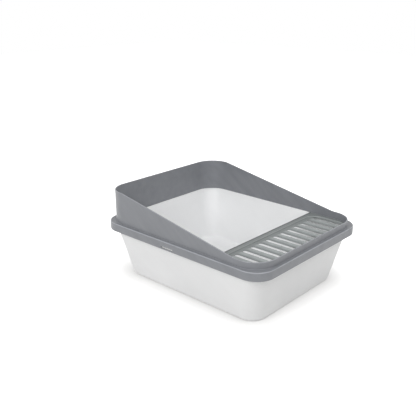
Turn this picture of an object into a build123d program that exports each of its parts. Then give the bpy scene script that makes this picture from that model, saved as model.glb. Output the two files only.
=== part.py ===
from build123d import *
import math
import os

# High-sided litter box in three mouldings: an open tub, a slotted step over the tub's entry end,
# and a collar with a wall that is high at the back and low at the entry. Millimetres, +Z up.
# The origin is on the floor under the middle of the box. +Y is the high back, -Y the entry.
# The pieces are drawn assembled: the step lies in a rebate of the tub's rim, and the collar's
# flange rests on both. Each piece lifts straight up.

# Overall size, which is that of the collar's skirt
overall_width = 420.0
overall_length = 510.0
outer_corner = 48.0

# Tub: a tapered wall, and a hollow rim with a turned-down skirt
tub_height = 146.0
tub_wall = 2.4
tub_corner = 40.0          # corner radius of the wall's outer face, from rim to floor
wall_lean = 31.0           # how far the walls lean in from rim to base
base_round = 9.0           # outer round where wall meets floor
floor_bevel = 4.0          # inner bevel there
floor_sheet = 2.6
foot_width = 26.0          # flat border that the tub stands on
floor_rise = 3.0           # step up to the middle of the floor
rim_width = 11.0           # from the skirt's outer face to the tub's mouth
rim_sheet = 2.2
rim_skirt = 14.5           # skirt depth below the rim's top
rim_round = 3.4
rim_bevel = 1.2            # bevel of the lower rim under the step

# Step: a flange in the rim's rebate, with a turned-down edge outside the rebated skirt
step_depth = 142.0         # from the tub's front to the step's back edge
step_sheet = 2.0
step_edge = 4.6            # height of the turned-down edge
step_edge_wall = 1.5
step_edge_round = 1.2
step_gap = 0.3             # clearance between step and tub
lip_gap = 1.5              # from the back lip's ends to the tub's walls

# Slotted panel of the step
border_side = 21.0
border_front = 16.0
border_back = 16.0
panel_drop = 2.6
panel_corner = 29.0
panel_gap = 1.0            # least clearance from the sunk panel to the tub's walls
panel_slope = 25.0         # lean of the sunk panel's sides, in degrees
slot_count = 13
slot_width = 11.5
slot_margin = 5.0          # from the panel's side to the first slot
slot_end = 10.0            # from the panel's front and back to the slots' ends
bar_width = 16.0           # foot of the raised bar between two slots
bar_height = 2.2
bar_slope = 60.0           # lean of the bars' sides, in degrees
pin_hole = 4.4
pin_hole_inset = 8.0       # from the step's side to the hole's middle
pin_hole_place = 58.0      # from the step's back edge to the hole's middle

# Collar
collar_gap = 0.6           # clearance round the tub's skirt
collar_sheet = 2.5
collar_skirt_wall = 2.2
collar_skirt = 21.0        # skirt depth below the flange's top
collar_round = 2.4
wall_setback = 8.5         # from the skirt's outer face to the wall's outer face
wall_corner = 57.0
wall_sheet = 2.5
back_height = 83.0         # wall height above the flange, at the back
front_height = 16.5        # and at the entry
slope_back = 2.0           # level stretch from the back corners to the slope's upper round
slope_front = 2.0          # level stretch from the slope's lower round to the front corners
slope_blend_back = 30.0
slope_blend_front = 90.0
lip_bevel = 0.7

# Catch on both long sides: a window in the collar's skirt over a notch in the tub's skirt
catch_place = 20.0         # from the middle towards the back
catch_length = 38.0
notch_height = 3.0
window_height = 4.0
window_foot = 2.2          # skirt left below the window
mark_width = 5.0           # small nick in the middle of the front rim's edge
mark_depth = 1.2

# Sizes and places worked out from those above
rim_inset = collar_skirt_wall + collar_gap
rim_x = overall_width - 2 * rim_inset
rim_y = overall_length - 2 * rim_inset
rim_corner = outer_corner - rim_inset
mouth_x = rim_x - 2 * (rim_width - tub_wall)
mouth_y = rim_y - 2 * (rim_width - tub_wall)
rebate_side = step_edge_wall + step_gap
rebate_y = -rim_y / 2 + step_depth
step_back = rebate_y - step_gap
panel_x = rim_x - 2 * border_side
panel_low = -rim_y / 2 + border_front
panel_high = step_back - border_back
panel_y = panel_high - panel_low
panel_mid = (panel_high + panel_low) / 2
slot_pitch = (panel_x - 2 * slot_margin - slot_width) / (slot_count - 1)
slot_length = panel_y - 2 * slot_end
flange_top = tub_height + collar_sheet
wall_x = overall_width - 2 * wall_setback
wall_y = overall_length - 2 * wall_setback
wall_top = flange_top + back_height
slope_run = wall_y - 2 * wall_corner - slope_back - slope_front
slope_drop = back_height - front_height
slope_rounds = slope_blend_back + slope_blend_front
slope_angle = (math.asin(slope_rounds / math.hypot(slope_run, slope_rounds - slope_drop))
               - math.atan2(slope_rounds - slope_drop, slope_run))
far = 2 * overall_length   # longer than the box, for cuts that run right through it


def block(width, length, corner, low, high):
    """Upright block with rounded corners between two heights."""
    return Pos(0, 0, low) * extrude(RectangleRounded(width, length, corner), high - low)


def slice_y(low, high):
    """All of space between two places along Y."""
    return Pos(0, (low + high) / 2, tub_height) * Box(far, high - low, far)


def level_edges(solid, height):
    """Edges of a solid that lie flat at one height."""
    boxes = [(edge, edge.bounding_box()) for edge in solid.edges()]
    return [edge for edge, box in boxes
            if abs(box.min.Z - height) < 1e-4 and abs(box.max.Z - height) < 1e-4]


def leaning_block(width, length, corner, low, high, angle):
    """Block between two heights whose sides lean out by an angle as they rise."""
    plan = RectangleRounded(width, length, corner)
    return Pos(0, 0, low) * extrude(plan, high - low, taper=-angle)


def wall_body(low, high, inset):
    """The tub's leaning wall as a solid block between two heights, moved in by an inset."""
    side = inset + wall_lean * (1 - high / tub_height)
    width, length = mouth_x - 2 * side, mouth_y - 2 * side
    slant = wall_lean * (high - low) / tub_height
    body = Wedge(width, high - low, length, slant, slant, width - slant, length - slant,
                 rotation=(-90, 0, 0))
    corners = [edge for edge in body.edges() if edge.bounding_box().size.Z > (high - low) / 2]
    return Pos(0, 0, (low + high) / 2) * fillet(corners, tub_corner - inset)


def floor_middle(spread, low, high):
    """Raised middle of the floor: a low block whose sides lean in as much as they rise."""
    lean = wall_lean + foot_width - spread
    corner = max(tub_corner - foot_width, 2 * floor_rise) + spread
    return leaning_block(mouth_x - 2 * lean, mouth_y - 2 * lean, corner, low, high, -45)


def rim_block(side, drop, skin):
    """Solid block in the rim's shape, moved in from the side and down, and in again by a skin."""
    inset = side + skin
    top = tub_height - drop - skin
    solid = block(rim_x - 2 * inset, rim_y - 2 * inset, rim_corner - inset,
                  tub_height - rim_skirt, top)
    if skin > 0:
        return solid
    if drop > 0:
        return chamfer(level_edges(solid, top), rim_bevel)
    return fillet(level_edges(solid, top), rim_round)


def make_rim():
    """Hollow rim with a lower, narrower part at the front and a riser between the two."""
    full = rim_block(0, 0, 0)
    full_hollow = rim_block(0, 0, rim_sheet)
    low = rim_block(rebate_side, step_sheet, 0)
    low_hollow = rim_block(rebate_side, step_sheet, rim_sheet)
    back = (full - full_hollow) & slice_y(rebate_y, far)
    front = (low - low_hollow) & slice_y(-far, rebate_y)
    riser = (full & slice_y(rebate_y, rebate_y + rim_sheet)) - low_hollow
    return back + front + riser


def catch_bar(inner_width, height, low):
    """Bar at the catch's place on both long sides, outside an inner width."""
    bar = Pos(0, catch_place, low + height / 2) * Box(far, catch_length, height)
    core = Pos(0, catch_place, low + height / 2) * Box(inner_width, far, far)
    return bar - core


def make_tub():
    """Open tub: tapered wall, raised floor and stepped rim."""
    body = wall_body(0, tub_height - rim_sheet, 0)
    tub = fillet(level_edges(body, 0), base_round) + make_rim()
    cavity = wall_body(floor_sheet, tub_height + rim_sheet, tub_wall)
    cavity = chamfer(level_edges(cavity, floor_sheet), floor_bevel)
    spread = floor_sheet * (math.sqrt(2) - 1)
    cavity -= floor_middle(spread, floor_sheet, floor_sheet + floor_rise)
    tub = tub - cavity - floor_middle(0, 0, floor_rise)
    tub -= catch_bar(rim_x - 3 * rim_sheet, notch_height, tub_height - rim_skirt)
    nick = Pos(0, -rim_y / 2, tub_height - step_sheet) * Box(mark_width, rim_width, 2 * mark_depth)
    return tub - nick


def step_plan(inset):
    """Plan of the rim in front of the rebate's back, moved in by an inset but not at the back."""
    plan = RectangleRounded(rim_x - 2 * inset, rim_y - 2 * inset, rim_corner - inset)
    keep = Pos(0, step_back - far / 2) * Rectangle(far, far)
    return plan & keep


def step_flange():
    """Flange of the step, its turned-down edge and the lip under its back edge."""
    under = tub_height - step_sheet
    depth = step_edge - step_sheet
    flange = Pos(0, 0, under) * extrude(step_plan(0), step_sheet)
    flange = fillet(level_edges(flange, tub_height), step_edge_round)
    edge = Pos(0, 0, under - depth) * extrude(step_plan(0) - step_plan(step_edge_wall), depth)
    lip_x = rim_x - 2 * (rim_width + lip_gap)
    lip = Pos(0, step_back - step_edge_wall / 2, under - depth / 2) * Box(lip_x, step_edge_wall, depth)
    return flange + edge + lip


def slot_row(count, sketch, height, slope):
    """A row of upright blocks across the panel, one pitch apart."""
    first = -(count - 1) / 2 * slot_pitch
    one = extrude(sketch, height, taper=slope)
    return [Pos(first + index * slot_pitch, panel_mid) * one for index in range(count)]


def make_step():
    """Slotted step: flange, sunk panel, raised bars and slots between them."""
    panel_top = tub_height - panel_drop
    panel_under = panel_top - step_sheet
    tray = block(panel_x + 2 * step_sheet, panel_y + 2 * step_sheet, panel_corner + step_sheet,
                 panel_under, tub_height - step_sheet / 2)
    low, high = tub_height - 2 * (panel_drop + step_sheet), tub_height + 2 * panel_drop
    tray = (Pos(0, panel_mid) * tray) & wall_body(low, high, tub_wall + panel_gap)
    plan = RectangleRounded(panel_x, panel_y, panel_corner)
    sink = Pos(0, panel_mid, panel_top) * extrude(plan, 2 * panel_drop, taper=-panel_slope)
    sink = sink & wall_body(low, high, tub_wall + panel_gap + step_sheet)
    step = step_flange() + tray - sink
    bar = Rectangle(bar_width, slot_length)
    slot = SlotOverall(slot_length, slot_width, rotation=90)
    step += [Pos(0, 0, panel_top) * one for one in slot_row(slot_count - 1, bar, bar_height, bar_slope)]
    step -= [Pos(0, 0, panel_under - step_sheet) * one
             for one in slot_row(slot_count, slot, 4 * step_sheet, 0)]
    for side in (-1, 1):
        place = Pos(side * (rim_x / 2 - pin_hole_inset), step_back - pin_hole_place, tub_height)
        step -= place * Cylinder(pin_hole / 2, 4 * step_sheet)
    return step


def slope_cut():
    """What is cut off above the collar's wall: level at the back, sloped, and level at the entry."""
    front_top = flange_top + front_height
    back_setback = slope_back + slope_blend_back * math.tan(slope_angle / 2)
    front_setback = slope_front + slope_blend_front * math.tan(slope_angle / 2)
    back_knee = (wall_y / 2 - wall_corner - back_setback, wall_top)
    front_knee = (-wall_y / 2 + wall_corner + front_setback, front_top)
    outline = Polyline((far, wall_top), back_knee, front_knee, (-far, front_top), (-far, far), (far, far),
                       close=True)
    face = make_face(outline)
    for knee, radius in ((back_knee, slope_blend_back), (front_knee, slope_blend_front)):
        near = sorted(face.vertices(), key=lambda v: (v.X - knee[0]) ** 2 + (v.Y - knee[1]) ** 2)
        face = fillet(near[0], radius)
    return extrude(Plane.YZ * face, far, both=True)


def collar_opening():
    """Space inside the collar's wall."""
    return block(wall_x - 2 * wall_sheet, wall_y - 2 * wall_sheet, wall_corner - wall_sheet,
                 tub_height - collar_sheet, wall_top + collar_sheet)


def collar_wall():
    """Sloped wall of the collar with a bevelled top."""
    wall = block(wall_x, wall_y, wall_corner, tub_height, wall_top + collar_sheet)
    wall = wall - collar_opening() - slope_cut()
    shortest = 2 * wall_sheet
    lowest = flange_top + front_height / 2
    rim = [edge for edge in wall.edges()
           if edge.bounding_box().min.Z > lowest and edge.length > shortest]
    return chamfer(rim, lip_bevel)


def make_collar():
    """Collar: skirt and flange over the tub's rim, and the sloped wall."""
    skirt = block(overall_width, overall_length, outer_corner, flange_top - collar_skirt, flange_top)
    skirt = fillet(level_edges(skirt, flange_top), collar_round)
    hollow = block(rim_x + 2 * collar_gap, rim_y + 2 * collar_gap, rim_corner + collar_gap,
                   flange_top - 2 * collar_skirt, tub_height)
    collar = skirt - hollow - collar_opening() + collar_wall()
    window_low = flange_top - collar_skirt + window_foot
    return collar - catch_bar(rim_x - rim_sheet, window_height, window_low)


def write(node, shape):
    """Write one piece, as one solid where it is one."""
    solids = shape.solids()
    piece = solids[0] if len(solids) == 1 else Compound(children=list(solids))
    export_step(piece, "parts/" + node + ".step")


def main():
    """Write every piece."""
    os.makedirs("parts", exist_ok=True)
    write("tub", make_tub())
    write("entry_step", make_step())
    write("collar", make_collar())


main()
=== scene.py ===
import bpy
import bmesh
import math
import numpy as np
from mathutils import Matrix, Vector


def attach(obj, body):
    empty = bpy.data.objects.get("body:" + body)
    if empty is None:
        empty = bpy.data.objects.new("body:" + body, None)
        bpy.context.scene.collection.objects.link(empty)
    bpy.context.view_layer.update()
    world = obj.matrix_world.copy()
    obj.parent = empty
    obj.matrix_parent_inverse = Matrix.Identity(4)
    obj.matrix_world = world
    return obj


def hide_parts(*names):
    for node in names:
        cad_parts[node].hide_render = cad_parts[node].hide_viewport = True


# Litter box in three mouldings: a white tub, a grey slotted step and a grey collar.
# Sizes are in millimetres until a mesh is made. The axes are +Z up and +Y towards the high back.

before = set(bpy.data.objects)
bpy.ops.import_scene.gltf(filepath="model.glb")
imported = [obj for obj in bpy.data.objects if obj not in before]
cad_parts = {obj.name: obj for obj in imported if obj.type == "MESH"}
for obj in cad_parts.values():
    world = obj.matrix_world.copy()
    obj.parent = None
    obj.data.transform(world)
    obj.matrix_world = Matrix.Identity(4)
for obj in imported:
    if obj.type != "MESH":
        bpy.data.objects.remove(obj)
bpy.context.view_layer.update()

# Tub
tub_height = 146.0
tub_wall = 2.4
tub_corner = 40.0
wall_lean = 31.0
mouth = np.array([198.6, 243.6])        # half sizes of the wall's outer face at the rim
rim_half = np.array([207.2, 252.2])
rim_corner = 45.2
rim_sheet = 2.2
rim_skirt = 14.5
rim_round = 3.4
low_side = 1.8                          # the front rim is this much narrower
low_drop = 2.0                          # and this much lower
low_round = 1.2
rebate_y = -110.2
floor_sheet = 2.6
foot_width = 26.0
floor_rise = 3.0
floor_flat = 6.0                        # from the raised middle's edge to the face that closes it
nick_half = 2.5
nick_depth = 1.2
nick_reach = 5.5
nick_slope = 0.4                        # run of the nick's sloped sides
drop_slope = 0.5                        # run of the sloped ends of the rebate and the notches

# Columns of the tub, besides those where its rim changes
tub_long_columns = np.linspace(-200, 200, 21)
tub_half_columns = (30, 60, 90, 120, 150)   # on half a short side
tub_corner_parts = 14

# Catch: notches in the tub's skirt and windows in the collar's
catch_from, catch_to = 1.0, 39.0
notch_height = 3.0
window_low, window_high = 131.0, 134.8

# Step
step_half = np.array([207.2, 70.85])
step_middle = -181.35
step_thick = 2.0
step_edge = 4.6
step_edge_wall = 1.5
step_back_corner = 1.5
least_corner = 0.3
panel_half = np.array([186.2, 54.85])
panel_corner = 29.0
panel_drop = 2.6
panel_wall = 2.0
slot_count = 13
slot_width = 11.5
slot_margin = 5.0
slot_pitch = (2 * panel_half[0] - 2 * slot_margin - slot_width) / (slot_count - 1)
slot_length = 89.7
slot_draft = np.array([1.1, 1.01])      # a slot is this many times wider and longer at the underside
bar_height = 2.2
bar_clear = 6.3                         # from a slot's middle to where the bar beside it starts
bar_side = 4.6                          # run of a bar's side
bar_reach = 45.6                        # from the panel's middle line to a bar's end
bar_end = 5.0                           # run of a bar's end
groove_from, groove_to = 3.0, 4.7       # from the step's edge
groove_depth = 0.8
groove_slope = 0.2
pin_place = np.array([199.2, 12.85])    # from the step's middle
pin_radius = 2.2
pin_flare = 0.2
sink_radius = 3.1
sink_depth = 1.5

# The panel's sloped side, as growth outwards and depth below the step's top, with its wear and painted
# highlight
panel_side = ((0, panel_drop), (0.45, 2.05), (0.95, 0.7), (1.3, 0.15), (1.9, 0))
panel_side_wear_and_highlight = (0, 0, 0.5, 1, 0)

# Rows of the border, as shares of the way from its start to the groove. The pins lie between them.
border_start = 1.5                      # from the panel's edge
border_shares = np.linspace(0.567, 0.987, 5)
pin_from, pin_to = 0.13, 0.27           # shares of the panel's half depth

# The lip under the back edge is cut away between two places, and the columns gather beside them
lip_gap_from, lip_gap_to = 194.8, 205.8
lip_columns = (184.5, 189, 193, 194.6, 195.0, 205.6, 206.0)

# Columns of a cell: shares of the panel's half depth, close together beside the pins and at the bars'
# ends, and shares of the cell's half width
half_shares = np.array([0.133, 0.1665, 0.2, 0.2333, 0.266, 0.4, 0.54, 0.66, 0.75, 0.81, 0.86, 0.9, 0.94,
                        0.97, 1])
side_shares = np.concatenate([-half_shares[::-1], [0], half_shares])
end_shares = np.linspace(-1, 1, 9)

# Rows of a cell's top: shares of the way from the slot's outline to the cell's border
cell_shares = np.linspace(1, 0.1, 11)

# Collar
skirt_half = np.array([210.0, 255.0])
skirt_corner = 48.0
skirt_wall = 2.2
flange_top = 148.5
collar_skirt = 21.0
wall_half = np.array([201.5, 246.5])
wall_corner = 57.0
wall_sheet = 2.5
back_height = 83.0
front_height = 16.5
slope_level = 2.0
round_back, round_front = 30.0, 90.0

# Columns of the collar, besides those at its windows: places close together on the slope's rounds, and
# shares of a side's straight stretch
collar_front_columns = np.linspace(-189, -168, 12)
collar_back_columns = np.linspace(180, 189, 8)
collar_long_shares = np.linspace(-0.84, 0.93, 26)
collar_short_shares = np.linspace(-0.9, 0.9, 13)
collar_corner_parts = 16

# Reach of the rounds from a section's corners, and the most of a run that one round takes
edge_round = 0.5
slot_round = 0.4
inner_round = 0.8
foot_round = 7.3
hollow_round = 1.5
mouth_round = 1.1
floor_round = 4.5
middle_round = 1.0
flange_round = 2.4
root_round = 1.3
wall_round = 0.9
panel_round = 0.6
round_share = 0.45

# Wear and painted highlight of an edge is from 0 to 1, the edge painted paler, and -1 is painted shade in
# a groove
# The bars' tops and the pin holes' walls are painted paler: painted highlight and wear
bar_wear_and_highlight = 0.6
sink_wear_and_highlight = 0.4
pin_wear_and_highlight = 1.0
# The groove's floor is painted darker: painted shade
groove_shade = -1

# Meshes
millimetre = 0.001
weld = 2e-6                             # metres
sliver = 1e-7                           # metres
sharp_angle = math.radians(38)
near = 0.1                              # less than a face is long
near_step = 0.2                         # less than a sloped end is long
tiny = 1e-6

# Camera, placed so that the lifted pieces lie as in the photograph
camera_from = Vector((-1.1113, -0.9196, 0.6958))
camera_towards = Vector((0.7014, 0.6293, -0.3346))
frame_px = 416.0
focal_px = 600.0
sensor_mm = 36.0

scene = bpy.context.scene


# Shapes

def at_height(plan, height):
    """Points of a plan at one height, or each at its own."""
    plan = plan.reshape(-1, 2)
    return np.column_stack([plan, np.broadcast_to(height, len(plan))])


class Stations:
    """Places round a rounded rectangle, in order.

    A place has a share of the core rectangle's half sizes, from -1 to 1, and a direction. Along a side
    the share runs and the direction stays, and at a corner the share stays and the direction turns.
    """

    def __init__(self, across, along, turn):
        angles = np.linspace(0, np.pi / 2, turn + 1)
        shares, ways = [], []
        for index, side in enumerate((across, along, -across[::-1], -along[::-1])):
            start = -np.pi / 2 + index * np.pi / 2
            way = np.array([math.cos(start), math.sin(start)]).round(9)
            ahead = np.array([-way[1], way[0]])
            shares.append(way + side[:, None] * ahead)
            ways.append(np.tile(way, (len(side), 1)))
            shares.append(np.tile(way + ahead, (turn + 1, 1)))
            ways.append(np.stack([np.cos(start + angles), np.sin(start + angles)], -1))
        self.shares = np.concatenate(shares)
        self.ways = np.concatenate(ways)

    def ring(self, half, corner, height):
        """Ring at a height: share times core half size, plus direction times corner radius."""
        core = half - np.asarray(corner)[..., None]
        return at_height(self.shares * core + self.ways * np.asarray(corner)[..., None], height)


def soften(rings, closed=False, steps=5):
    """Rows of a section through its rings, with a parabola at each corner that has a reach.

    The parabola leaves one straight run and joins the next at the reach from the corner, so a row is
    (1 - t)^2 of the start, 2t(1 - t) of the corner and t^2 of the end. Wear and painted highlight is
    4t(1 - t), the largest at the corner, where the material paints the edge paler. A negative reach is an
    inner corner, which gets neither. The third result is each ring's first row.
    """
    share = np.linspace(0, 1, steps + 1)[:, None, None]
    rows, wear_and_shading, first = [], [], []
    for index, (here, reach) in enumerate(rings):
        first.append(len(rows))
        if reach is None or not closed and index in (0, len(rings) - 1):
            rows.append(here)
            wear_and_shading.append(0.0)
            continue
        back = rings[index - 1][0] - here
        ahead = rings[(index + 1) % len(rings)][0] - here
        back_run = np.maximum(np.linalg.norm(back, axis=-1), tiny)
        ahead_run = np.maximum(np.linalg.norm(ahead, axis=-1), tiny)
        cut = np.minimum(np.abs(reach), round_share * np.minimum(back_run, ahead_run))
        start = here + back * (cut / back_run)[:, None]
        end = here + ahead * (cut / ahead_run)[:, None]
        rows.extend((1 - share) ** 2 * start + 2 * share * (1 - share) * here + share ** 2 * end)
        wear_and_shading.extend((4 * share * (1 - share)).ravel() * (np.min(reach) > 0))
    return np.array(rows), np.array(wear_and_shading), first


def grid_faces(rows, columns, closed=False):
    """Four-sided faces between neighbouring rows of a grid whose columns close into rings. In a closed
    grid, the last row joins the first."""
    row = np.arange(rows if closed else rows - 1)[:, None]
    column = np.arange(columns)[None, :]
    row_after, column_after = (row + 1) % rows, (column + 1) % columns
    corners = (row * columns + column, row * columns + column_after,
               row_after * columns + column_after, row_after * columns + column)
    return np.stack(corners, -1).reshape(-1, 4)


def make_piece(name, points, faces, wear_and_shading, body, material):
    """Piece of the box from its points in millimetres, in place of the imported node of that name."""
    mesh = bpy.data.meshes.new(name)
    mesh.from_pydata((points * millimetre).tolist(), [], faces)
    # Per point: wear and painted highlight from 0 to 1, and painted shade in a groove at -1
    worn_and_shaded = mesh.attributes.new("wear_and_shading", "FLOAT", "POINT")
    worn_and_shaded.data.foreach_set("value", wear_and_shading.astype(np.float32))
    shape = bmesh.new()
    shape.from_mesh(mesh)
    bmesh.ops.remove_doubles(shape, verts=shape.verts, dist=weld)
    bmesh.ops.dissolve_degenerate(shape, edges=shape.edges, dist=sliver)
    bmesh.ops.recalc_face_normals(shape, faces=shape.faces)
    shape.to_mesh(mesh)
    shape.free()
    mesh.polygons.foreach_set("use_smooth", np.ones(len(mesh.polygons), dtype=bool))
    mesh.set_sharp_from_angle(angle=sharp_angle)
    mesh.materials.append(material)
    piece = bpy.data.objects.new(name, mesh)
    scene.collection.objects.link(piece)
    even = piece.modifiers.new("even_shading", "WEIGHTED_NORMAL")
    even.keep_sharp = True
    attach(piece, body)
    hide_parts(name)


def make_tub(material):
    """White tub: one section carried round the plan from the middle of the underside, up the wall,
    round the hollow rim and down the inside to the middle of the floor. The wall's half size falls
    evenly with the height, by its lean at the floor. The rim's front part is lower and narrower, with
    a riser at its end."""
    core = rim_half - rim_corner
    rebate_end = rebate_y + rim_sheet
    drops = [rebate_y, rebate_y + drop_slope, rebate_end - drop_slope, rebate_end,
             catch_from, catch_from + drop_slope, catch_to - drop_slope, catch_to]
    along = np.unique(np.concatenate([drops, tub_long_columns])) / core[1]
    right = np.array([nick_half, nick_half + nick_slope, *tub_half_columns]) / core[0]
    places = Stations(np.concatenate([-right[::-1], right]), along, tub_corner_parts)

    on_rim = places.ring(rim_half, rim_corner, 0)
    y = on_rim[:, 1]
    outer_low = (y < rebate_y + near_step).astype(float)
    inner_low = (y < rebate_end - near_step).astype(float)
    long_side = np.abs(places.ways[:, 1]) < tiny
    notch = notch_height * (long_side & (y > catch_from + near_step) & (y < catch_to - near_step))
    nick = nick_depth * ((np.abs(on_rim[:, 0]) < nick_half + near_step) & (y < -core[1]))
    top = tub_height - low_drop * outer_low
    hollow = tub_height - rim_sheet - low_drop * inner_low
    foot = tub_height - rim_skirt + notch

    def rim(inset, low, height):
        inward = np.broadcast_to(inset + low_side * low, y.shape)
        return places.ring(rim_half - inward[:, None], rim_corner - inward, height)

    def wall(inset, height):
        lean = wall_lean * (1 - np.broadcast_to(height, y.shape) / tub_height) + inset
        return places.ring(mouth - lean[:, None], np.full(y.shape, tub_corner - inset), height)

    def middle(grow, height):
        half = mouth - wall_lean - foot_width + grow
        return places.ring(half, tub_corner - foot_width + grow, height)

    spread = floor_sheet * (math.sqrt(2) - 1)
    raised = floor_sheet + floor_rise
    nick_end = nick_reach - low_side * outer_low
    rings = [(middle(-floor_rise - floor_flat, floor_rise), None),
             (middle(-floor_rise, floor_rise), -inner_round),
             (middle(0, 0), inner_round),
             (wall(0, 0), foot_round),
             (wall(0, hollow), -hollow_round),
             (rim(rim_sheet, inner_low, hollow), -inner_round),
             (rim(rim_sheet, inner_low, foot), edge_round),
             (rim(0, outer_low, foot), edge_round),
             (rim(0, outer_low, top - nick), rim_round + (low_round - rim_round) * outer_low),
             (rim(nick_end, outer_low, top - nick), None),
             (rim(nick_end + nick_slope, outer_low, top), None),
             (wall(tub_wall, top), mouth_round),
             (wall(tub_wall, floor_sheet), -floor_round),
             (middle(spread, floor_sheet), -middle_round),
             (middle(spread - floor_rise, raised), inner_round),
             (middle(spread - floor_rise - floor_flat, raised), None)]
    rows, wear_and_shading, _ = soften(rings)
    count = rows.shape[1]

    # A flat face closes the raised middle below, and another one above
    last = (len(rows) - 1) * count
    caps = [list(range(count)), list(range(last, last + count))]
    make_piece("tub", rows.reshape(-1, 3), grid_faces(len(rows), count).tolist() + caps,
               np.repeat(wear_and_shading, count), "tub_body", material)


def slope_height(y):
    """Height of the collar's wall along Y: level at the entry, a round, a straight slope, a round and
    level at the back. The slope's angle fits both rounds between the two level stretches."""
    run = 2 * (wall_half[1] - wall_corner - slope_level)
    drop = back_height - front_height
    both = round_back + round_front
    angle = math.asin(both / math.hypot(run, both - drop)) - math.atan2(both - drop, run)
    high, low = flange_top + back_height, flange_top + front_height
    end = run / 2
    upper = high - round_back + np.sqrt(np.maximum(round_back ** 2 - (y - end) ** 2, 0))
    lower = low + round_front - np.sqrt(np.maximum(round_front ** 2 - (y + end) ** 2, 0))
    knee = end - round_back * math.tan(angle / 2)
    straight = high - (knee - y) * math.tan(angle)
    return np.select([y > end, y > end - round_back * math.sin(angle),
                      y > -end + round_front * math.sin(angle), y > -end],
                     [high, upper, straight, lower], low)


def make_collar(material):
    """Grey collar: a closed section of skirt, flange and wall carried round the plan, the wall's top
    following the slope, with a window through the skirt on both long sides."""
    core_skirt = skirt_half[1] - skirt_corner
    core_wall = wall_half[1] - wall_corner
    slope_rounds = np.concatenate([collar_front_columns, collar_back_columns]) / core_wall
    window = np.array([catch_from, catch_to]) / core_skirt
    along = np.unique(np.concatenate([slope_rounds, collar_long_shares, window]))
    places = Stations(collar_short_shares, along, collar_corner_parts)

    def skirt(inset, height):
        return places.ring(skirt_half - inset, skirt_corner - inset, height)

    def wall(inset, height):
        return places.ring(wall_half - inset, wall_corner - inset, height)

    def sloped(inset):
        return wall(inset, slope_height(wall(inset, 0)[:, 1]))

    foot = flange_top - collar_skirt
    rings = [(skirt(0, foot), edge_round),
             (skirt(0, window_low), None),
             (skirt(0, window_high), None),
             (skirt(0, flange_top), flange_round),
             (wall(0, flange_top), -root_round),
             (sloped(0), wall_round),
             (sloped(wall_sheet), wall_round),
             (wall(wall_sheet, tub_height), edge_round),
             (skirt(skirt_wall, tub_height), -inner_round),
             (skirt(skirt_wall, window_high), None),
             (skirt(skirt_wall, window_low), None),
             (skirt(skirt_wall, foot), edge_round)]
    rows, wear_and_shading, first = soften(rings, closed=True)
    count = rows.shape[1]
    points = rows.reshape(-1, 3)
    faces = grid_faces(len(rows), count, closed=True)

    # Windows: the faces in their place come out, and faces through the skirt line the opening
    centre = points[faces].mean(axis=1)
    in_window = ((np.abs(centre[:, 0]) > skirt_half[0] - skirt_wall - near)
                 & (centre[:, 1] > catch_from) & (centre[:, 1] < catch_to)
                 & (centre[:, 2] > window_low) & (centre[:, 2] < window_high))
    window_rings = (1, 2, 9, 10)
    outer_low, outer_high, inner_high, inner_low = (first[ring] * count for ring in window_rings)
    lining = []
    y = places.shares[:, 1] * core_skirt
    for side in (-1, 1):
        beside = (places.ways[:, 0] == side) & (np.abs(places.ways[:, 1]) < tiny)
        here = np.flatnonzero(beside & (y > catch_from - near) & (y < catch_to + near))
        a, b = here[:-1], here[1:]
        for outer, inner in ((outer_low, inner_low), (outer_high, inner_high)):
            lining.extend(np.stack([outer + a, outer + b, inner + b, inner + a], -1).tolist())
        for end in (here[0], here[-1]):
            lining.append([outer_low + end, outer_high + end, inner_high + end, inner_low + end])
    make_piece("collar", points, faces[~in_window].tolist() + lining, np.repeat(wear_and_shading, count),
               "collar_body", material)


def pull_in(plan, half, corner):
    """Moves points that lie outside a rounded rectangle's corner arcs straight onto the arcs: what a
    point has past the core rectangle is shortened to the corner's radius."""
    past = np.abs(plan) - (half - corner)
    both = (past > 0).all(axis=-1)
    length = np.maximum(np.linalg.norm(past, axis=-1), tiny)
    scale = np.minimum(1.0, corner / length)[..., None]
    pulled = np.sign(plan) * (half - corner + past * scale)
    return np.where(both[..., None], pulled, plan)


def bar_rise(u, v):
    """Height of the raised bars over the panel at a place beside a slot: an S-curve up from the
    slot's side, times one up from the bar's end."""
    side = np.clip((np.abs(u) - bar_clear) / bar_side, 0, 1)
    end = np.clip((bar_reach - np.abs(v)) / bar_end, 0, 1)
    return bar_height * side ** 2 * (3 - 2 * side) * end ** 2 * (3 - 2 * end)


def cell_places():
    """Middle, left side and right side of each slot's cell, and the places across it. The outer cells
    reach the panel's ends."""
    index = np.arange(slot_count)
    middle = (index - (slot_count - 1) / 2) * slot_pitch
    left = np.where(index == 0, -panel_half[0], middle - slot_pitch / 2)
    right = np.where(index == slot_count - 1, panel_half[0], middle + slot_pitch / 2)
    across = (left + right)[:, None] / 2 + end_shares[:-1] * (right - left)[:, None] / 2
    return middle, left, right, across


def round_box(across, left, right):
    """Places anticlockwise round a box as deep as the panel: along its front, up its right side, back
    along its rear and down its left side."""
    along = side_shares[:-1] * panel_half[1]

    def line(x, y):
        return np.stack(np.broadcast_arrays(x, y), -1)

    return np.concatenate([line(across, -panel_half[1]), line(right, along),
                           line(left + right - across, panel_half[1]), line(left, -along)])


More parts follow.
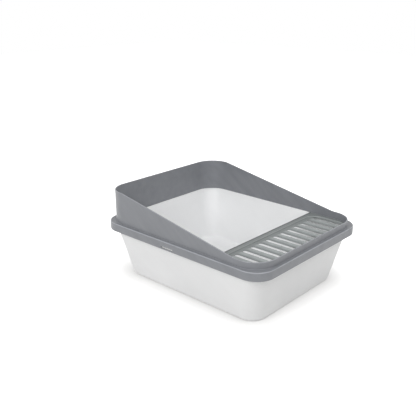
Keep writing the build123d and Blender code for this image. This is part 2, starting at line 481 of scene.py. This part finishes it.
def make_cells():
    """Slots with their surroundings: thirteen cells side by side.

    In a cell, a row lies a share of the way from the slot's outline to the cell's border, and the rows
    go over the top, down through the slot and out again under the panel.
    """
    half_slot = slot_length / 2 - slot_width / 2
    turn = end_shares * np.pi / 2
    arc = np.stack([np.sin(turn), np.cos(turn)], -1) * slot_width / 2
    front = arc[:-1] * [1, -1] + [0, -half_slot]
    right = np.stack([np.full(len(side_shares) - 1, slot_width / 2), side_shares[:-1] * half_slot], -1)
    outline = np.concatenate([front, right, -front, -right])
    each = len(outline)

    middle, left_side, right_side, across = cell_places()
    border = np.array([round_box(*cell) for cell in zip(across, left_side, right_side)])
    border = pull_in(border, panel_half, panel_corner)
    place = np.stack([middle, np.zeros(slot_count)], -1)[:, None, :]
    slots = outline + place
    index = np.arange(slot_count)[:, None]
    top = tub_height - panel_drop
    under = top - step_thick
    rings = []
    for share in cell_shares:
        plan = slots + (border - slots) * share
        u = plan[..., 0] - middle[:, None]
        no_bar = (index == 0) & (u < 0) | (index == slot_count - 1) & (u > 0)
        rise = np.where(no_bar, 0, bar_rise(u, plan[..., 1]))
        rings.append((at_height(plan, (top + rise).ravel()), None))
    rings += [(at_height(slots, top), edge_round),
              (at_height(outline * slot_draft + place, under), slot_round),
              (at_height(border, under), None)]
    rows, wear_and_shading, _ = soften(rings, steps=4)

    # The rows hold all cells side by side, and each cell gets its own grid
    count = len(rows)
    points = rows.reshape(count, slot_count, each, 3).transpose(1, 0, 2, 3).reshape(-1, 3)
    faces = grid_faces(count, each)[None] + (index * count * each)[..., None]
    crown = np.clip((points[:, 2] - top) / bar_height, 0, 1)
    # The bars' tops are painted paler the higher they rise: painted highlight and wear
    wear_and_shading = np.maximum(np.tile(np.repeat(wear_and_shading, each), slot_count), bar_wear_and_highlight * crown)
    return points, faces.reshape(-1, 4), wear_and_shading


def cut_pins(points, faces, wear_and_shading, square, starts):
    """Border with a pin hole at each side. Over and under the hole a block of faces comes out, and
    rings of faces lead from the block's edge to the hole and through it. A ring lies at its radius
    from the hole's middle, in the direction of the block's edge."""
    count = len(square)
    top, under = tub_height, tub_height - step_thick
    side_column = np.abs(square[:, 0]) > panel_half[0] - tiny
    share = square[:, 1] / panel_half[1]
    walls = []
    for side in (-1, 1):
        columns = np.flatnonzero(side_column & (np.sign(square[:, 0]) == side)
                                 & (share > pin_from) & (share < pin_to))
        loops = []
        for start in starts:
            rows = np.arange(start, start + len(border_shares))
            loops.append(np.concatenate([
                rows[0] * count + columns[:-1], rows[:-1] * count + columns[-1],
                rows[-1] * count + columns[:0:-1], rows[:0:-1] * count + columns[0]]))
            row, column = np.divmod(faces[:, 0], count)
            faces = faces[~(np.isin(row, rows[:-1]) & np.isin(column, columns[:-1]))]
        over, below = loops

        # The edge below is put in the order of the edge above, by the nearest points seen from above
        apart = np.linalg.norm(points[below][:, None, :2] - points[over][None, :, :2], axis=-1)
        below = below[apart.argmin(axis=0)]

        centre = pin_place * [side, 1]
        aim = points[over, :2] - centre
        aim /= np.linalg.norm(aim, axis=1)[:, None]
        loops = [over]
        # The countersink and the hole's wall are painted paler: painted highlight and wear
        for radius, height, worn_and_shaded in ((sink_radius, top, sink_wear_and_highlight),
                                     (pin_radius, top - sink_depth, pin_wear_and_highlight),
                                     (pin_radius, under + pin_flare, pin_wear_and_highlight),
                                     (pin_radius + pin_flare, under, pin_wear_and_highlight)):
            loops.append(len(points) + np.arange(len(aim)))
            points = np.concatenate([points, at_height(centre + aim * radius, height)])
            wear_and_shading = np.concatenate([wear_and_shading, np.full(len(aim), worn_and_shaded)])
        loops.append(below)
        for a, b in zip(loops[:-1], loops[1:]):
            walls.append(np.stack([a, np.roll(a, -1), np.roll(b, -1), b], -1))
    return points, np.concatenate([faces] + walls), wear_and_shading


def make_border():
    """Border of the step: rows from the panel's edge out over the flange, round the turned-down edge
    and back under it, with a pin hole at each side. Each row takes the columns of the cells' outer
    border, moved out along their direction or spread over the step's outline."""
    across = cell_places()[3].ravel()
    square = round_box(across, -panel_half[0], panel_half[0])
    edge = pull_in(square, panel_half, panel_corner)
    past = np.maximum(np.abs(square) - (panel_half - panel_corner), 0)
    past = np.where((past > 0).all(-1)[:, None], past, np.where(past >= past.max(-1)[:, None], past, 0))
    way = np.sign(square) * past / np.linalg.norm(past, axis=-1)[:, None]

    # Columns on the back edge, gathered near the lip's ends so that it ends sharply
    back = square[:, 1] > panel_half[1] - tiny
    reach = np.abs(square[:, 0])
    knots = np.unique(reach[back])[-len(lip_columns) - 2:]
    wanted = [knots[0] * step_half[0] / panel_half[0], *lip_columns, step_half[0]]
    gathered = np.where(reach >= knots[0] - tiny, np.interp(reach, knots, wanted),
                        reach * step_half[0] / panel_half[0])
    outer_x = np.where(back, np.sign(square[:, 0]) * gathered, square[:, 0] / panel_half[0] * step_half[0])
    outer_plan = np.stack([outer_x, square[:, 1] * step_half[1] / panel_half[1]], -1)

    def outline(inset, height):
        plan = outer_plan * (step_half - inset) / step_half
        front = pull_in(plan, step_half - inset, rim_corner - inset)
        rear = pull_in(plan, step_half - inset, max(step_back_corner - inset, least_corner))
        return at_height(np.where((plan[:, 1] < 0)[:, None], front, rear), height)

    def panel(grow, height):
        return at_height(edge + way * grow, height)

    def between(share, height):
        inner, outer = panel(border_start, height), outline(groove_to, height)
        return inner + (outer - inner) * share

    top = tub_height
    under = top - step_thick
    low = top - step_edge
    lip_gap = back & (np.abs(outer_x) > lip_gap_from) & (np.abs(outer_x) < lip_gap_to)
    edge_foot = np.where(lip_gap, under, low)
    rings = [(panel(grow, top - depth), None) for grow, depth in panel_side]
    top_block = len(rings)
    rings += [(between(share, top), None) for share in border_shares]
    groove = len(rings)
    rings += [(outline(groove_to, top), None),
              (outline(groove_to - groove_slope, top - groove_depth), None),
              (outline(groove_from + groove_slope, top - groove_depth), None),
              (outline(groove_from, top), None),
              (outline(0, top), flange_round),
              (outline(0, edge_foot), edge_round),
              (outline(step_edge_wall, edge_foot), edge_round),
              (outline(step_edge_wall, under), -slot_round)]
    under_block = len(rings)
    rings += [(between(share, under), None) for share in border_shares[::-1]]
    rings += [(panel(panel_wall, under), -edge_round),
              (panel(panel_wall, low), panel_round),
              (panel(0, low), None)]
    rows, wear_and_shading, first = soften(rings, steps=4)
    count = rows.shape[1]
    # The panel's sloped side is painted paler: painted highlight and wear
    wear_and_shading[:top_block] = panel_side_wear_and_highlight
    # The groove's floor is painted darker: painted shade
    wear_and_shading[first[groove + 1]:first[groove + 3]] = groove_shade
    return cut_pins(rows.reshape(-1, 3), grid_faces(len(rows), count), np.repeat(wear_and_shading, count), square,
                    (first[top_block], first[under_block]))


def make_step(material):
    """Grey step: the cells and the border joined into one closed mesh."""
    cells, cell_faces, cell_wear_and_shading = make_cells()
    border, border_faces, border_wear_and_shading = make_border()
    points = np.concatenate([cells, border]) + [0, step_middle, 0]
    faces = np.concatenate([cell_faces, border_faces + len(cells)]).tolist()
    make_piece("entry_step", points, faces, np.concatenate([cell_wear_and_shading, border_wear_and_shading]),
               "step_body", material)


# Finishes

class Tree:
    """Node tree under construction, with short ways to add and join its nodes."""

    def __init__(self, owner):
        owner.use_nodes = True
        self.nodes = owner.node_tree.nodes
        self.links = owner.node_tree.links

    def add(self, kind, **values):
        """New node of a kind, with its settings."""
        node = self.nodes.new(kind)
        for key, value in values.items():
            setattr(node, key, value)
        return node

    def join(self, source, target):
        """Link from a node's output to another one's input."""
        self.links.new(source, target)

    def combine(self, operation, *sources):
        """Sources added, multiplied or compared, one after another."""
        total = sources[0]
        for source in sources[1:]:
            node = self.add("ShaderNodeMath", operation=operation)
            self.join(total, node.inputs[0])
            self.join(source, node.inputs[1])
            total = node.outputs[0]
        return total

    def spread(self, source, low, high, start=0.3, end=0.7):
        """Source between start and end turned into a value between low and high."""
        node = self.add("ShaderNodeMapRange")
        node.inputs["From Min"].default_value = start
        node.inputs["From Max"].default_value = end
        node.inputs["To Min"].default_value = low
        node.inputs["To Max"].default_value = high
        self.join(source, node.inputs["Value"])
        return node.outputs["Result"]

    def camera_ray(self):
        """1 for what the camera sees, straight or in gloss or glass."""
        path = self.add("ShaderNodeLightPath").outputs
        return self.combine("MAXIMUM", path["Is Camera Ray"], path["Is Glossy Ray"],
                            path["Is Transmission Ray"])


class Finish(Tree):
    """Material under construction, whose patterns lie on the piece's own place in metres."""

    def __init__(self, name):
        self.material = bpy.data.materials.new(name)
        super().__init__(self.material)
        self.shader = self.nodes["Principled BSDF"]
        self.place = self.add("ShaderNodeTexCoord").outputs["Object"]

    def noise(self, scale, detail, stretch=(1, 1, 1), turn=(0, 0, 0)):
        """Noise of a scale per metre, stretched along its axes and then turned on the piece."""
        mapping = self.add("ShaderNodeMapping", vector_type="TEXTURE")
        mapping.inputs["Scale"].default_value = stretch
        mapping.inputs["Rotation"].default_value = turn
        self.join(self.place, mapping.inputs["Vector"])
        noise = self.add("ShaderNodeTexNoise")
        noise.inputs["Scale"].default_value = scale
        noise.inputs["Detail"].default_value = detail
        self.join(mapping.outputs["Vector"], noise.inputs["Vector"])
        return noise.outputs["Fac"]

    def mix(self, factor, start, end):
        """Colour that goes from a start to an end. The start is a colour or another mix."""
        node = self.add("ShaderNodeMix", data_type="RGBA")
        if isinstance(start, bpy.types.NodeSocket):
            self.join(start, node.inputs["A"])
        else:
            node.inputs["A"].default_value = (*start, 1)
        node.inputs["B"].default_value = (*end, 1)
        self.join(factor, node.inputs["Factor"])
        return node.outputs["Result"]


# Noises of the mouldings, as scale per metre and detail
drift_noise = (5.0, 3.0)
flow_noise = (60.0, 4.0)
flow_stretch = (1, 1, 6)
flow_turn = (-0.9, 0, 0)
speck_noise = (900.0, 2.0)
patch_noise = (40.0, 3.0)
smear_noise = (30.0, 4.0)
grain_detail = 3.0

# What the noises do. The tone runs from -1, the darkest, to 1, the palest.
drift_share = 0.35
speck_share = 0.16
tone_range = 0.1
# The next two set how edges are painted paler, as painted highlight and wear
least_rub_and_highlight = 0.6
palest = 0.92
# Tone of the painted shade in grooves, as a share of the colour
groove_shade_tone = 0.35
smear_depth = 0.05
polish = 0.07
grain_strength = 0.35
grain_depth = 0.0001                    # metres
plastic_ior = 1.49


def moulded(name, colour, roughness, grain, streaks, rub_and_highlight):
    """Moulded plastic: a tone that drifts a little over the piece, faint streaks from the melt's flow,
    a fine spark-eroded grain, edges painted paler as painted highlight and wear and made smoother, more
    in some places than in others, and painted shade in the grooves.

    Grain is the grain's scale per metre, streaks is the streaks' share of the tone, and the last
    argument says how many times paler an edge is painted, as painted highlight and wear.
    """
    finish = Finish(name)
    colour = np.array(colour)
    drift = finish.spread(finish.noise(*drift_noise), -drift_share, drift_share)
    flow = finish.spread(finish.noise(*flow_noise, flow_stretch, flow_turn), -streaks, streaks)
    speck = finish.spread(finish.noise(*speck_noise), -speck_share, speck_share)
    tone = finish.spread(finish.combine("ADD", drift, flow, speck), 0, 1, -1, 1)
    shade = finish.mix(tone, colour * (1 - tone_range), np.minimum(colour * (1 + tone_range), 1))

    wear_and_shading = finish.add("ShaderNodeAttribute", attribute_name="wear_and_shading").outputs["Fac"]
    patches = finish.spread(finish.noise(*patch_noise), least_rub_and_highlight, 1.0)
    # Edges painted paler, more in some places than others: painted highlight and wear
    rubbed_and_lit = finish.mix(finish.combine("MULTIPLY", wear_and_shading, patches), shade, np.minimum(colour * rub_and_highlight, palest))
    # Grooves painted darker: painted shade in the groove's crease
    groove_shaded = finish.mix(finish.spread(wear_and_shading, 1, 0, -1, 0), rubbed_and_lit, colour * groove_shade_tone)
    finish.join(groove_shaded, finish.shader.inputs["Base Color"])

    smear = finish.spread(finish.noise(*smear_noise), -smear_depth, smear_depth)
    polished = finish.spread(wear_and_shading, roughness, roughness - polish, 0, 1)
    finish.join(finish.combine("ADD", polished, smear), finish.shader.inputs["Roughness"])

    bump = finish.add("ShaderNodeBump")
    bump.inputs["Strength"].default_value = grain_strength
    bump.inputs["Distance"].default_value = grain_depth
    finish.join(finish.noise(grain, grain_detail), bump.inputs["Height"])
    finish.join(bump.outputs["Normal"], finish.shader.inputs["Normal"])
    finish.shader.inputs["IOR"].default_value = plastic_ior
    return finish.material


make_tub(moulded("tub_white", colour=(0.9, 0.905, 0.91), roughness=0.42, grain=1500, streaks=0.08,
                 rub_and_highlight=1.03))
make_step(moulded("step_grey", colour=(0.212, 0.228, 0.228), roughness=0.5, grain=1100, streaks=0.15,
                  rub_and_highlight=2.1))
make_collar(moulded("collar_grey", colour=(0.23, 0.238, 0.257), roughness=0.4, grain=1100, streaks=0.6,
                    rub_and_highlight=1.9))


# Studio, in metres

floor_size = 12
floor_colour = (0.6, 0.597, 0.59, 1)
floor_roughness = 0.9
white = (1, 1, 1, 1)
under_box = (0.12, 0.165, 0)            # half sizes of the part of the floor that is lifted least
lift_low, lift_high = 0.25, 1.0
lift_from, lift_to = 0.04, 0.165        # from that part
world_light = 0.58
lamp_aim = Vector((0, 0, 0.12))


def make_floor():
    """Plain pale floor. What the camera sees is lifted to white, less so near the box, where the
    floor keeps its shadow. The lift grows with the length of what |x| and |y| have past the part under
    the box."""
    bpy.ops.mesh.primitive_plane_add(size=floor_size, location=(0, 0, 0))
    floor = bpy.context.object
    floor.name = "floor"
    finish = Finish("floor_pale")
    finish.shader.inputs["Base Color"].default_value = floor_colour
    finish.shader.inputs["Roughness"].default_value = floor_roughness
    finish.shader.inputs["Emission Color"].default_value = white
    apart = finish.place
    for operation, value, output in (("ABSOLUTE", None, "Vector"), ("SUBTRACT", under_box, "Vector"),
                                     ("MAXIMUM", (0, 0, 0), "Vector"), ("LENGTH", None, "Value")):
        node = finish.add("ShaderNodeVectorMath", operation=operation)
        finish.join(apart, node.inputs[0])
        if value is not None:
            node.inputs[1].default_value = value
        apart = node.outputs[output]
    lift = finish.spread(apart, lift_low, lift_high, lift_from, lift_to)
    seen = finish.combine("MULTIPLY", lift, finish.camera_ray())
    finish.join(seen, finish.shader.inputs["Emission Strength"])
    floor.data.materials.append(finish.material)


def make_world():
    """Soft even light, and white where the camera sees it."""
    world = bpy.data.worlds.new("studio")
    tree = Tree(world)
    background = tree.nodes["Background"]
    background.inputs["Color"].default_value = white
    strength = tree.spread(tree.camera_ray(), world_light, 1.0, 0, 1)
    tree.join(strength, background.inputs["Strength"])
    scene.world = world


def make_light(name, place, size, power):
    """Soft rectangular lamp that points at the box."""
    data = bpy.data.lights.new(name, "AREA")
    data.shape = "RECTANGLE"
    data.size, data.size_y = size
    data.energy = power
    lamp = bpy.data.objects.new(name, data)
    lamp.location = place
    lamp.rotation_euler = (lamp_aim - Vector(place)).to_track_quat("-Z", "Y").to_euler()
    scene.collection.objects.link(lamp)


def make_camera():
    """Camera at the photograph's viewing angle."""
    data = bpy.data.cameras.new("camera")
    data.sensor_width = sensor_mm
    data.lens = focal_px / frame_px * sensor_mm
    camera = bpy.data.objects.new("camera", data)
    camera.location = camera_from
    camera.rotation_euler = camera_towards.to_track_quat("-Z", "Y").to_euler()
    scene.collection.objects.link(camera)
    scene.camera = camera


make_floor()
make_world()
make_light("left", place=(-2.3, -0.2, 1.5), size=(1.4, 1.0), power=23)
make_light("front", place=(-0.3, -1.6, 2.3), size=(1.6, 1.2), power=16)
make_camera()
scene.view_settings.view_transform = "Standard"
